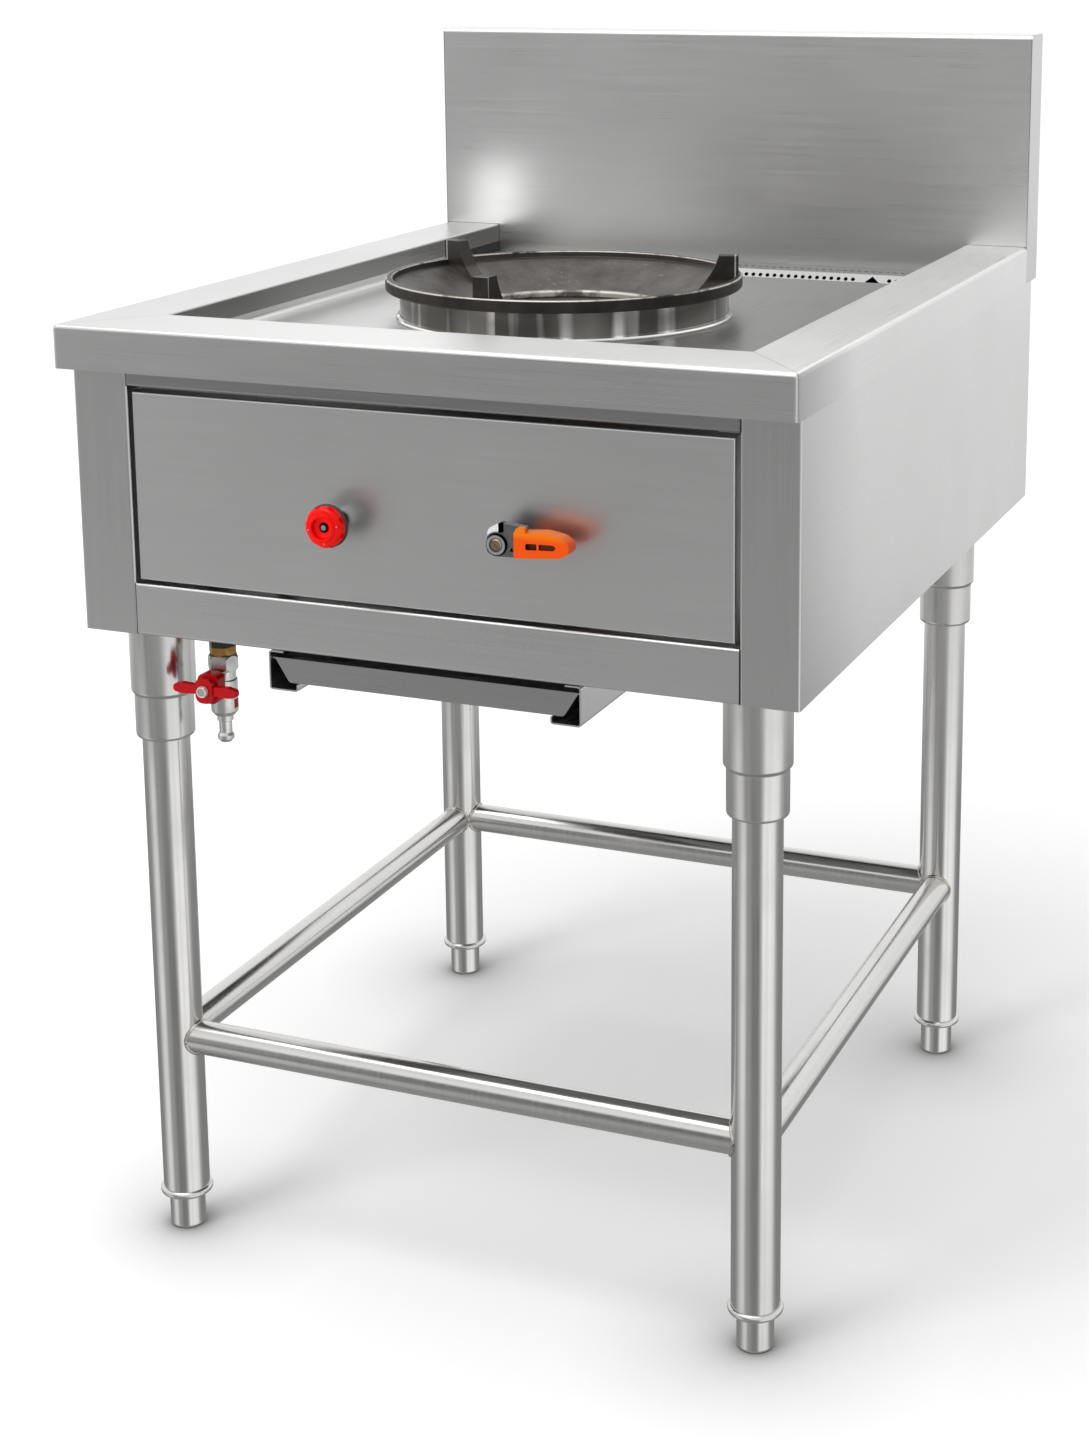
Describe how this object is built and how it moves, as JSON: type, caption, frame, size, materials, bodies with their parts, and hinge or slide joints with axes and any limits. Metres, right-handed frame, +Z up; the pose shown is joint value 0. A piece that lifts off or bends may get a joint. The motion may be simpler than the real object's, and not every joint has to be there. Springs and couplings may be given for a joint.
{
  "type": "wok range",
  "caption": "Free-standing single-burner gas wok range in stainless steel, with a sunken well, rear drain and tube stand.",
  "frame": {"origin": "on the floor, under the middle of the whole range", "axes": "+Z up, -Y towards the cook at the front with the controls, +X to the cook's right"},
  "size_m": [0.7, 0.864, 1.128],
  "materials": {
    "sheet_steel": "brushed stainless sheet",
    "tube_steel": "polished stainless tube",
    "plain_steel": "plain mill-finish steel",
    "polished_collar": "polished stainless",
    "cast_iron": "black cast iron",
    "burner_steel": "bright machined burner metal",
    "brass": "plain brass",
    "nickel": "nickel plated",
    "lever_grey": "grey die casting",
    "red_plastic": "gloss red",
    "orange_plastic": "gloss orange",
    "black_plastic": "satin black"
  },
  "bodies": {
    "stand_and_body": {"worktop_rim": "sheet_steel", "well_floor": "sheet_steel", "drain_gutter": "sheet_steel", "splashback": "sheet_steel", "splashback_back": "sheet_steel", "left_side_panel": "sheet_steel", "right_side_panel": "sheet_steel", "rear_panel": "sheet_steel", "top_rail": "sheet_steel", "bottom_rail": "sheet_steel", "front_panel": "sheet_steel", "leg_sleeves": "sheet_steel", "leg_front_left": "tube_steel", "leg_front_right": "tube_steel", "leg_rear_left": "tube_steel", "leg_rear_right": "tube_steel", "leg_braces": "tube_steel", "foot_collars": "tube_steel", "under_frame": "plain_steel", "leg_plates": "plain_steel", "tray_crossbars": "plain_steel", "tray_runners": "plain_steel", "drain_outlet": "plain_steel", "burner_chamber": "plain_steel", "burner_bracket": "plain_steel", "manifold_brackets": "plain_steel", "gas_manifold": "plain_steel", "burner_supply_tube": "plain_steel", "pilot_tube": "plain_steel", "burner_collar": "polished_collar", "burner_mixer": "cast_iron", "burner_head": "burner_steel", "gas_jet": "brass", "pilot_burner": "brass", "burner_valve_body": "brass", "pilot_valve_body": "brass", "valve_gland_nuts": "brass", "inlet_union_nut": "brass", "manifold_plug": "brass", "inlet_adapter": "nickel", "inlet_valve_body": "nickel", "hose_barb": "nickel"},
    "pilot_knob": {"pilot_knob": "red_plastic", "knob_skirt": "black_plastic", "pilot_valve_plug": "brass"},
    "burner_lever": {"burner_lever": "lever_grey", "lever_grip": "orange_plastic", "lever_screw": "brass", "burner_valve_plug": "brass"},
    "inlet_handle": {"inlet_handle": "red_plastic", "inlet_handle_nut": "nickel", "inlet_valve_stem": "nickel", "inlet_valve_ball": "nickel"},
    "drip_tray": {"drip_tray": "sheet_steel"},
    "wok_ring": {"wok_ring": "cast_iron"},
    "strainer": {"strainer": "sheet_steel"},
    "foot_front_left": {"foot_front_left": "tube_steel"},
    "foot_front_right": {"foot_front_right": "tube_steel"},
    "foot_rear_left": {"foot_rear_left": "tube_steel"},
    "foot_rear_right": {"foot_rear_right": "tube_steel"}
  },
  "joints": [
    {"name": "pilot_knob_turn", "type": "hinge", "parent": "stand_and_body", "child": "pilot_knob", "pos_m": [-0.075, -0.418, 0.7395], "axis": [0, -1, 0], "range_deg": [0, 210]},
    {"name": "burner_lever_turn", "type": "hinge", "parent": "stand_and_body", "child": "burner_lever", "pos_m": [0.089, -0.418, 0.7395], "axis": [0, 1, 0], "range_deg": [0, 90]},
    {"name": "inlet_handle_turn", "type": "hinge", "parent": "stand_and_body", "child": "inlet_handle", "pos_m": [-0.224, -0.358, 0.5648], "axis": [0, -1, 0], "range_deg": [0, 90]},
    {"name": "drip_tray_slide", "type": "slide", "parent": "stand_and_body", "child": "drip_tray", "axis": [0, -1, 0], "range_m": [0, 0.45]},
    {"name": "wok_ring_lift", "type": "slide", "parent": "stand_and_body", "child": "wok_ring", "axis": [0, 0, 1], "range_m": [0, 0.1]},
    {"name": "strainer_lift", "type": "slide", "parent": "stand_and_body", "child": "strainer", "axis": [0, 0, 1], "range_m": [0, 0.08]},
    {"name": "foot_front_left_screw", "type": "slide", "parent": "stand_and_body", "child": "foot_front_left", "axis": [0, 0, -1], "range_m": [0, 0.025]},
    {"name": "foot_front_right_screw", "type": "slide", "parent": "stand_and_body", "child": "foot_front_right", "axis": [0, 0, -1], "range_m": [0, 0.025]},
    {"name": "foot_rear_left_screw", "type": "slide", "parent": "stand_and_body", "child": "foot_rear_left", "axis": [0, 0, -1], "range_m": [0, 0.025]},
    {"name": "foot_rear_right_screw", "type": "slide", "parent": "stand_and_body", "child": "foot_rear_right", "axis": [0, 0, -1], "range_m": [0, 0.025]}
  ]
}
